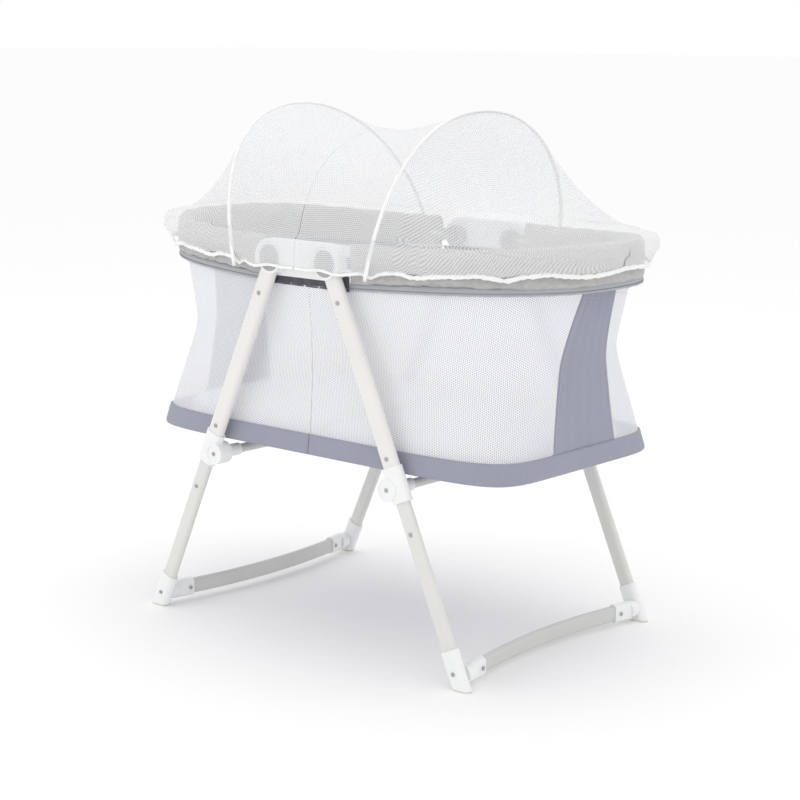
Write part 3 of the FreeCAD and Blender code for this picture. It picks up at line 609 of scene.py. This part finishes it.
def zip_teeth(z, surface):
    """A row of wedge-shaped teeth, by turns a little high and a little low."""
    half_length = 0.0008
    half_depth = 0.0007
    half_height = 0.0007
    stagger = 0.0004
    narrow = 0.6
    corners = ((-1, -1, -1), (1, -1, -1), (1, 1, -1), (-1, 1, -1),
               (-1, -1, 1), (1, -1, 1), (1, 1, 1), (-1, 1, 1))
    sides = ((0, 3, 2, 1), (4, 5, 6, 7), (0, 1, 5, 4), (1, 2, 6, 5), (2, 3, 7, 6), (3, 0, 4, 7))
    vertices, faces = [], []
    line = zip_line(460, z)
    for i in range(1, len(line) - 1):
        forward = forward_at(line, i)
        outward = forward.cross(UP)
        shift = stagger if i % 2 else -stagger
        start = len(vertices)
        for along, out, up in corners:
            spread = narrow if out > 0 else 1.0
            p = line[i] + forward * along * half_length * spread + outward * (out * half_depth)
            p = p + Vector((0, 0, shift + up * half_height * spread))
            vertices.append(tilted(p))
        for side in sides:
            faces.append(tuple(start + k for k in side))
    return make_object("zip_teeth_right", vertices, faces, surface, smooth_faces=False)


def build_zip(materials):
    """Zip round the rim: one tape with a row of teeth along its middle."""
    z = PIVOT.z - RIM_BOTTOM - ZIP_HEIGHT / 2
    tape = grid_object("zip_tape_right", zip_tape_rows(z), materials["zip_tape"])
    add_modifier(tape, "SOLIDIFY", thickness=0.0008, offset=-1)
    apply_modifiers(tape)
    teeth = zip_teeth(z, materials["zip_teeth"])
    for source, kind in ((tape, "zip_tape"), (teeth, "zip_teeth")):
        for name, piece in both_sides(source, kind):
            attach(piece, name + "_rim")
            if source is tape:
                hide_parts("rim_zip_" + name)


# ---------------------------------------------------------------- basket walls
def wall_plan(z):
    """Outline of the basket at a height: nearly square at the base, drawn in at the waist.

    It follows a parabola through three plans, and above FLARE_FROM it spreads towards the zip.
    """
    plans = ((FLOOR_Z, BASE_PLAN), (WAIST_Z, WAIST_PLAN), (PIVOT.z, TOP_PLAN))
    made = []
    for k in range(3):
        value = 0.0
        for i, (zi, plan) in enumerate(plans):
            weight = 1.0
            for j, (zj, _) in enumerate(plans):
                if i != j:
                    weight *= (z - zj) / (zi - zj)
            value += weight * plan[k]
        made.append(value)
    made[2] = max(made[2], LEAST_POWER)
    flare = FLARE_SHARE * max(0.0, (z - FLARE_FROM) / (WALL_TOP - FLARE_FROM)) ** FLARE_CURVE
    flare = 1.0 if z > WALL_TOP else flare
    zip_plan = grown(grown(RIM_OUTER, -ZIP_INSET), -ZIP_CLEARANCE)
    return tuple(made[k] + (zip_plan[k] - made[k]) * flare for k in range(3))


def panel_half(z):
    """Half width of the end panel, which tapers upward."""
    share = (z - FLOOR_Z) / (PIVOT.z - FLOOR_Z)
    return PANEL_BOTTOM + (PANEL_TOP - PANEL_BOTTOM) * share


def wall_heights(count):
    """Heights of the wall's rows, and last the outer edge of the flange, which is nearly level."""
    low = BAND_TOP - WALL_TUCK
    return [low + (WALL_TOP - low) * i / (count - 1) for i in range(count)] + [WALL_TOP + FLANGE_RISE]


def wall_part(name, edges, columns, surface, pleat=0.0):
    """Sheet between two angles that depend on height; right-hand side of the basket."""
    settle = 0.0008
    pleats = 5
    rows = []
    for z in wall_heights(44):
        plan = wall_plan(z)
        start, end = edges(z, plan)
        row = []
        share = (z - BAND_TOP) / (WALL_TOP - BAND_TOP)
        for i, p in enumerate(outline(plan, start, end, columns)):
            drift = 0.0012 * noise.noise(Vector((p.x * 6, p.y * 6, z * 9)))
            fold = pleat * math.sin(2 * math.pi * i / (columns - 1) * pleats) ** 3
            rise = max(0.0, share) * (p.x - PIVOT.x) * math.tan(RIM_TILT)
            row.append(Vector((p.x, p.y, z + rise)) + outward_from(plan, p) * (drift + fold - settle))
        rows.append(row)
    return grid_object(name, rows, surface)


def finish_wall(source, kind, node):
    """The two sides of a wall part, each attached to its half of the floor with a mesh of its own."""
    for name, piece in both_sides(source, kind):
        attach(piece, name + "_floor")
        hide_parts(node + "_" + name)
        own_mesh(piece)


def build_walls(materials):
    """Mesh at the front and the back of each half, with a tapered cloth panel at the end."""
    overlap = 0.001

    def front(z, plan):
        return -angle_at_x(plan, SEAM_X), angle_at_y(plan, -panel_half(z))

    def back(z, plan):
        return angle_at_y(plan, panel_half(z)), angle_at_x(plan, SEAM_X)

    def panel(z, plan):
        return angle_at_y(plan, -panel_half(z) - overlap), angle_at_y(plan, panel_half(z) + overlap)

    mesh_front = wall_part("mesh_front_right", front, 90, materials["mesh_fabric"])
    mesh_back = wall_part("mesh_back_right", back, 90, materials["mesh_fabric"])
    panel_cloth = wall_part("panel_cloth_right", panel, 60, materials["panel_fabric"], pleat=0.0006)
    finish_wall(mesh_front, "mesh_front", "mesh_wall")
    finish_wall(mesh_back, "mesh_back", "mesh_wall")
    add_modifier(panel_cloth, "SOLIDIFY", thickness=0.0010, offset=1)
    apply_modifiers(panel_cloth)
    finish_wall(panel_cloth, "panel_cloth", "end_panel")


def band_side():
    """Rows down the side of the band: a tucked hem, the side itself and the turn under the floor."""
    columns = 300
    corner_turn = 0.72
    corner_reach = 0.20
    profile = [(-0.0010, 1.0, 0.0), (0.0006, 1.004, 0.0)]
    profile += [(0.0009, 1.0 - 0.1 * k, 1.0) for k in range(9)]
    profile += [(0.0009, 0.13, 0.8), (0.0003, 0.07, 0.5), (-0.0010, 0.03, 0.2), (-0.0032, 0.006, 0.0),
                (-0.0110, 0.004, 0.0)]
    rows = []
    for outward, share, loose in profile:
        z = FLOOR_Z + (BAND_TOP - FLOOR_Z) * share
        plan = grown(wall_plan(z), outward)
        start = angle_at_x(plan, SEAM_X)
        row = []
        for p in outline(plan, -start, start, columns):
            around = math.atan2(p.y / plan[1], p.x / plan[0])
            corner = math.exp(-((abs(around) - corner_turn) / corner_reach) ** 2)
            crease = noise.noise(Vector((around * 26, share * 1.4, 2))) + 0.5 * math.sin(around * 95 + share)
            drift = noise.noise(Vector((p.x * 14, p.y * 14, z * 40)))
            pucker = 0.0011 * corner * crease + 0.0007 * drift
            row.append(Vector((p.x, p.y, z)) + outward_from(plan, p) * pucker * loose)
        rows.append(row)
    return rows


def bottom_rows(rim):
    """Rows of the bottom sheet, from the band's lower edge in to the middle."""
    steps = 14
    narrowing = 0.35
    made = []
    for step in range(1, steps + 1):
        share = 1 - step / steps
        row = []
        for p in rim:
            drift = 0.0005 * noise.noise(Vector((p.x * 12, p.y * 12, step)))
            row.append(Vector((max(SEAM_X, p.x * share), p.y * (1 - narrowing * (1 - share)),
                               FLOOR_Z + 0.0006 + drift)))
        made.append(row)
    return made


def build_band(materials):
    """Tray of lavender cloth over a stiff band, with puckers where it goes round the corners."""
    rows = band_side()
    rows += bottom_rows(rows[-1])
    obj = grid_object("band_cloth_right", rows, materials["band_fabric"])
    add_modifier(obj, "SOLIDIFY", thickness=0.0012, offset=-1)
    apply_modifiers(obj)
    for name, piece in both_sides(obj, "band_cloth"):
        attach(piece, name + "_floor")
        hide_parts("base_band_" + name)


def stitch_row(name, points, surface):
    """A row of short raised stitches along the points."""
    pitch = 0.0045
    length = 0.0028
    radius = 0.00035
    around = 6
    sections = ((-0.5, 0.4), (-0.3, 1.0), (0.3, 1.0), (0.5, 0.4))
    count = int(run_lengths(points)[-1] / pitch)
    spread = resample(points, count * 2 + 1)
    vertices, faces = [], []
    for i in range(1, len(spread) - 1, 2):
        forward = forward_at(spread, i)
        side = forward.cross(UP)
        side = side.normalized() if side.length > 0.2 else Vector((0, 1, 0))
        up = side.cross(forward).normalized()
        start = len(vertices)
        for along, size in sections:
            for k in range(around):
                turn = 2 * math.pi * k / around
                vertices.append(spread[i] + forward * along * length
                                + (side * math.cos(turn) + up * math.sin(turn)) * radius * size)
        faces += grid_faces(len(sections), around, True, start)
    return make_object(name, vertices, faces, surface)


def band_stitch_line(z):
    plan = grown(wall_plan(z), 0.0012)
    start = angle_at_x(plan, 0.002)
    return [Vector((p.x, p.y, z)) for p in outline(plan, -start, start, 200)]


def panel_stitch_line(sign):
    line = []
    for z in wall_heights(30):
        plan = wall_plan(z)
        p = superellipse(plan, angle_at_y(plan, sign * (panel_half(z) - 0.003)))
        line.append(Vector((p.x + 0.0009, p.y, z)))
    return line


def build_stitches(materials):
    """Top-stitching on the base band and down both edges of the end panels."""
    thread = materials["thread"]
    band = [stitch_row("band_stitches_right_0", band_stitch_line(BAND_TOP - 0.0035), thread),
            stitch_row("band_stitches_right_1", band_stitch_line(FLOOR_Z + 0.0050), thread)]
    edges = [stitch_row("panel_stitches_right_front", panel_stitch_line(-1), thread),
             stitch_row("panel_stitches_right_back", panel_stitch_line(1), thread)]
    for right in band + edges:
        left = mirror_copy(right, right.name.replace("right", "left"))
        for name, piece in (("left", left), ("right", right)):
            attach(piece, name + "_floor")
            if right in edges:
                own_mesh(piece)


# ---------------------------------------------------------------- mattress and small cloth parts
def build_mattress(materials):
    """Puffed pad on each half of the floor, quilted in diamonds on top."""
    margin = 0.0035
    quilt = 0.070
    quilt_depth = 0.0035
    low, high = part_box("mattress_right")
    loops = []
    for inset, z in ((0.010, low.z + 0.001), (0.003, low.z + 0.006), (0.0, low.z + 0.016),
                     (0.0, high.z - 0.014), (0.004, high.z - 0.004), (0.014, high.z - 0.001)):
        shape = grown(grown((high.x, high.y, 6.0), -margin), -inset)
        start = angle_at_x(shape, low.x + margin + inset)
        loops.append([Vector((p.x, p.y, z)) for p in outline(shape, -start, start, 96)])
    obj = capped("mattress_pad_right", loops, materials["mattress_fabric"])
    puff(obj, voxel=0.006, pressure=4.0, limit=0.005)
    top = high.z - 0.010
    for v in obj.data.vertices:
        if v.co.z > top and v.normal.z > 0.5:
            first = abs(math.sin(math.pi * (v.co.x + v.co.y) / quilt))
            second = abs(math.sin(math.pi * (v.co.x - v.co.y) / quilt))
            v.co.z -= quilt_depth * (1 - min(first, second)) ** 4
    add_modifier(obj, "SUBSURF", levels=1, render_levels=1)
    apply_modifiers(obj)
    for name, piece in both_sides(obj, "mattress_pad"):
        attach(piece, name + "_floor")
        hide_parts("mattress_" + name)
        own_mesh(piece)


def build_lining(materials):
    """Gathered dark cloth that closes the gap under each hub."""
    tall, wide = 11, 69
    low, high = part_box("hub_linings")
    for end, sign in (("front", -1), ("back", 1)):
        rows = []
        for r in range(tall + 1):
            z = low.z + (high.z - low.z) * r / tall
            row = []
            for c in range(wide + 1):
                x = low.x + (high.x - low.x) * c / wide
                gather = 0.0012 * math.sin(c * 0.55 + r * 0.12)
                gather += 0.0008 * noise.noise(Vector((x * 60, z * 20, 3)))
                row.append(Vector((x, sign * (high.y - 0.0024 + gather), z)))
            rows.append(row)
        obj = grid_object("hub_lining_" + end, rows, materials["dark_lining"])
        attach(obj, "hub")
        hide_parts("hub_linings")


def build_strap(materials):
    """Webbing loop between the two mattress halves that lifts the floor."""
    steps = 40
    half_gap = 0.0005
    low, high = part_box("pull_strap")
    top = high.z - 0.0006
    rows = []
    for step in range(steps + 1):
        x = half_gap * math.cos(math.pi * step / steps)
        share = min(step, steps - step) / (steps / 2)
        z = low.z + (top - low.z) * min(1.0, share * 1.15)
        rows.append([Vector((x, y, z)) for y in (low.y, low.y * 0.5, 0.0, high.y * 0.5, high.y)])
    obj = grid_object("lift_strap", rows, materials["band_fabric"])
    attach(obj, "floor_lift")
    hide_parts("pull_strap")


# ---------------------------------------------------------------- net
def arch_point(turn):
    """Across and up on a bow's arch, from the front tip (0) to the back tip (pi)."""
    c, s = math.cos(turn), math.sin(turn)
    across = NET_BOW_HALF * math.copysign(abs(c) ** (2 / BOW_POWER), -c)
    return across, NET_BOW_HEIGHT * max(0.0, s) ** (2 / BOW_POWER)


def ridge_point(turn):
    """The arch in place: it leans away from the middle and, higher up, to the front."""
    across, rise = arch_point(turn)
    return Vector((BOW_TIP_X + BOW_LEAN * rise, across - BOW_SKEW * rise ** 2 / NET_BOW_HEIGHT,
                   BOW_TIP_Z + rise))


def edge_plan():
    return grown(NET_PLAN, -NET_EDGE_INSET)


def tip_angle(x):
    """Angle of the net's edge at x, on the outline scaled to a half length and width of one."""
    half_x, _, power = edge_plan()
    share = min(1.0, x / half_x)
    return math.atan2((1 - share ** power) ** (1 / power), share)


def edge_point(turn):
    """Where the thread that crosses the ridge at this turn meets the edge of the rim."""
    half_x, half_y, power = edge_plan()
    angle = tip_angle(BOW_TIP_X) * (2 * turn / math.pi - 1)
    p = superellipse((1.0, 1.0, power), angle)
    return Vector((p.x * half_x, p.y * half_y, NET_EDGE_Z))


def cloth_point(x, turn):
    """Across and up at x, on the thread that crosses the ridge at this turn."""
    ridge = ridge_point(turn)
    if x <= ridge.x:
        share = (1 - x / ridge.x) / 2
        y, z, sag = ridge.y, ridge.z, SAG_MIDDLE
    else:
        edge = edge_point(turn)
        share = min(1.0, (x - ridge.x) / (edge.x - ridge.x))
        y = ridge.y + share * (edge.y - ridge.y)
        z = ridge.z + share * (edge.z - ridge.z)
        sag = SAG_OUTER
    return y, z - sag * 4 * share * (1 - share) * math.sin(turn)


def hem_height(x, y):
    """The elastic hem rises with the rim, waves a little and dips at the bow tips."""
    wave = 0.0022 * math.sin(x * 41 + y * 23) + 0.0014 * math.sin(x * 97 - y * 31)
    dip = 0.007 * math.exp(-((abs(x) - BOW_TIP_X) / 0.010) ** 2) if abs(y) > 0.2 else 0.0
    rise = max(0.0, abs(x) - PIVOT.x) * math.tan(RIM_TILT)
    return NET_HEM_Z + 0.001 + wave - dip + rise


def hem_half(x):
    """Half width of the hem: it clears the hub and hugs the rim cover farther out."""
    hugging = half_width(HEM_PLAN, x)
    share = 1 / (1 + math.exp((x - HUG_FROM) / 0.012))
    return hugging + (NET_PLAN[1] + 0.0005 - hugging) * share


def net_row(share, count):
    """Points across the net, from the front hem over the top to the back hem."""
    steps = 120
    x = NET_PLAN[0] * share
    _, half_y, power = NET_PLAN
    half = max(0.0005, half_y * (1 - share ** power) ** (1 / power))
    first = math.pi / 2 * (1 - tip_angle(x) / tip_angle(BOW_TIP_X)) if x > BOW_TIP_X else 0.0
    hem_x = HEM_PLAN[0] * share
    low = hem_height(hem_x, half)
    drawn_in = 0.990 if share > 0.3 else 1.0
    skirt = [Vector((hem_x, min(hem_half(hem_x), half * 1.001), low)),
             Vector(((hem_x * 2 + x) / 3, half * drawn_in, low + (NET_EDGE_Z - low) * 0.35)),
             Vector((x, half, NET_EDGE_Z - 0.022)),
             Vector((x, half - min(half, 0.003), NET_EDGE_Z - 0.009))]
    line = [Vector((p.x, -p.y, p.z)) for p in skirt]
    for i in range(steps + 1):
        y, z = cloth_point(x, first + (math.pi - 2 * first) * i / steps)
        if z > NET_EDGE_Z - 0.005 and line[-1].y < y < skirt[-1].y:
            line.append(Vector((x, y, z)))
    return resample(line + skirt[::-1], count)


def relax(obj, fixed, rounds):
    """Let the net pull itself smooth between the lines that hold it."""
    bm = bmesh.new()
    bm.from_mesh(obj.data)
    free = [v for v in bm.verts if not fixed(v)]
    for _ in range(rounds):
        moved = []
        for v in free:
            around = [e.other_vert(v).co for e in v.link_edges]
            middle = Vector((0, 0, 0))
            for co in around:
                middle += co
            moved.append(v.co.lerp(middle / len(around), 0.5))
        for v, co in zip(free, moved):
            v.co = co
    bm.to_mesh(obj.data)
    bm.free()


def bend_with_rim(piece):
    """Net and hem: the piece's placement is baked into its mesh."""
    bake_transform(piece)


def gather_net(net, across):
    """Gathers above the hem, stronger away from the hub, and a slow unevenness all over."""
    gathered_columns = 16
    waves_per_radian = 150
    depth = 0.0013
    for v in net.data.vertices:
        column = v.index % across
        edge = min(column, across - 1 - column)
        near = max(0.0, 1 - edge / gathered_columns)
        angle = math.atan2(v.co.y / NET_PLAN[1], v.co.x / NET_PLAN[0])
        gather = math.sin(angle * waves_per_radian + 2 * noise.noise(Vector((angle * 9, 4, 0))))
        gather += noise.noise(Vector((angle * 60, 0, 1)))
        far = max(0.0, min(1.0, (v.co.x - 0.05) / 0.15))
        outward = Vector((v.co.x, v.co.y * 3, 0)).normalized()
        v.co = v.co + outward * (depth * near * (1 - near * 0.5) * gather * (0.25 + 0.75 * far))
        v.co = v.co + Vector((0, 0, 0.0010 * noise.noise(v.co * 9)))


def build_net(materials):
    """Net of one half: held on the bow and at the hem, pulled smooth between, gathered low down."""
    steps = 110
    shares = [math.sin(i / steps * math.pi / 2) ** 0.97 for i in range(steps + 1)]
    shares[0] = SEAM_X / NET_PLAN[0]
    shares[-1] = 1 - 1e-6
    across = 141
    net = grid_object("net_cloth_right", [net_row(share, across) for share in shares],
                      materials["net_fabric"])
    held_columns = 22
    bow_half_width = 0.0045

    def held(v):
        row, column = divmod(v.index, across)
        edge = min(column, across - 1 - column)
        ridge_x = BOW_TIP_X + BOW_LEAN * max(0.0, v.co.z - BOW_TIP_Z)
        on_bow = abs(v.co.x - ridge_x) < bow_half_width
        return edge < held_columns * (1 - row / steps) + 4 or on_bow or row == 0 or row > steps - 7

    relax(net, held, 10)
    gather_net(net, across)
    for name, piece in both_sides(net, "net_cloth"):
        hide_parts("net_" + name)
        bend_with_rim(piece)


def build_bows(materials):
    """White tape sewn along each bow, just under the net."""
    steps = 96
    for name, sign in SIGNS.items():
        points = []
        for i in range(steps + 1):
            p = ridge_point(math.pi * i / steps)
            points.append(Vector((sign * (p.x - 0.0005), p.y * 0.994, p.z - 0.0022)))
        tape = tube_along("bow_tape_" + name, points, (0.0022, 0.0040), materials["bow_white"], 12,
                          Vector((1, 0, 0)))
        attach(tape, "hub")
        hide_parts("bow_rods")


def hem_line(steps):
    """Middle line of the hem's right half, evenly spaced from front to back."""
    half_x, half_y, power = HEM_PLAN
    points = []
    for i in range(steps + 1):
        turn = -math.pi / 2 + math.pi * i / steps
        x = max(0.0004, half_x * math.cos(turn) ** (2 / power))
        if x < half_x * 0.985:
            y = math.copysign(hem_half(x), turn)
        else:
            y = math.copysign(half_y * abs(math.sin(turn)) ** (2 / power), turn)
        points.append(Vector((x + 0.001, y * 1.003, hem_height(x, y) - 0.0005)))
    return resample(points, steps)


def build_hem(materials):
    """Gathered elastic hem, in two halves."""
    around = 10
    half_thickness = 0.0017
    points = hem_line(420)
    rows = []
    for i, p in enumerate(points):
        side = forward_at(points, i).cross(UP).normalized()
        ruffle = 0.35 + 0.65 * min(1.0, max(0.0, (p.x - 0.10) / 0.12))
        swell = 1 + ruffle * (0.12 * math.sin(i * 1.45) + 0.35 * noise.noise(Vector((i * 0.23, 0, 0))))
        tall = 0.0019 + 0.0020 * ruffle
        shift = Vector((0, 0, 0.0016 * ruffle * noise.noise(Vector((i * 0.13, 5, 0)))))
        rows.append([p + shift + side * half_thickness * swell * math.cos(2 * math.pi * k / around)
                     + Vector((0, 0, tall * swell * math.sin(2 * math.pi * k / around)))
                     for k in range(around)])
    hem = capped("hem_band_right", rows, materials["hem_elastic"])
    for name, piece in both_sides(hem, "hem_band"):
        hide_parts("net_hem")
        bend_with_rim(piece)


# ---------------------------------------------------------------- stage
CAMERA_AZIMUTH = 40.52
CAMERA_ELEVATION = 10.99
CAMERA_ROLL = 0.45
CAMERA_DISTANCE = 3.464
CAMERA_TARGET = Vector((0.0025, 0, 0.3956))
CAMERA_LENS = 87.0
LIGHT_TARGET = Vector((0, 0, 0.5))


def area_light(name, place, size, power):
    """Soft round light aimed at the middle of the object."""
    data = bpy.data.lights.new(name, "AREA")
    data.shape = "DISK"
    data.size = size
    data.energy = power
    lamp = bpy.data.objects.new(name, data)
    bpy.context.scene.collection.objects.link(lamp)
    lamp.location = place
    lamp.rotation_euler = (LIGHT_TARGET - Vector(place)).to_track_quat("-Z", "Y").to_euler()


def build_stage():
    """Pale floor, white surroundings and three soft lights."""
    scene = bpy.context.scene
    scene.view_settings.view_transform = "Standard"
    n = Nodes("floor")
    n.set(Base_Color=(0.97, 0.97, 0.97, 1), Roughness=0.9, Specular_IOR_Level=0.1)
    n.bump(n.noise(n.place(), 40.0, 2.0), 0.0005, 0.1)
    size = 60.0
    floor = make_object("floor", [(-size, -size, 0), (size, -size, 0), (size, size, 0), (-size, size, 0)],
                        [(0, 1, 2, 3)], n.material)
    world = bpy.data.worlds.new("studio")
    world.use_nodes = True
    sky = world.node_tree.nodes["Background"]
    sky.inputs["Color"].default_value = (1, 1, 1, 1)
    sky.inputs["Strength"].default_value = 1.0
    scene.world = world
    area_light("key", (-2.2, -3.2, 3.0), 2.2, 14)
    area_light("fill", (2.8, -2.6, 2.2), 2.5, 3)
    area_light("top", (0.2, 0.6, 3.6), 2.6, 12)


def build_camera():
    """Camera on the object's front right, a little above it, turned slightly about its own line."""
    azimuth = math.radians(CAMERA_AZIMUTH)
    elevation = math.radians(CAMERA_ELEVATION)
    roll = math.radians(CAMERA_ROLL)
    back = Vector((math.sin(azimuth) * math.cos(elevation), -math.cos(azimuth) * math.cos(elevation),
                   math.sin(elevation)))
    right = (-back).cross(UP).normalized()
    up = right.cross(-back)
    right, up = right * math.cos(roll) + up * math.sin(roll), up * math.cos(roll) - right * math.sin(roll)
    data = bpy.data.cameras.new("camera")
    data.sensor_width = 36.0
    data.lens = CAMERA_LENS
    camera = bpy.data.objects.new("camera", data)
    bpy.context.scene.collection.objects.link(camera)
    turn = Matrix((right, up, back)).transposed()
    camera.matrix_world = Matrix.Translation(CAMERA_TARGET + back * CAMERA_DISTANCE) @ turn.to_4x4()
    bpy.context.scene.camera = camera


materials = make_materials()
dress_frame(materials)
build_camera()
build_stage()
build_cover(materials)
build_zip(materials)
build_walls(materials)
build_band(materials)
build_stitches(materials)
build_mattress(materials)
build_lining(materials)
build_strap(materials)
build_net(materials)
build_bows(materials)
build_hem(materials)
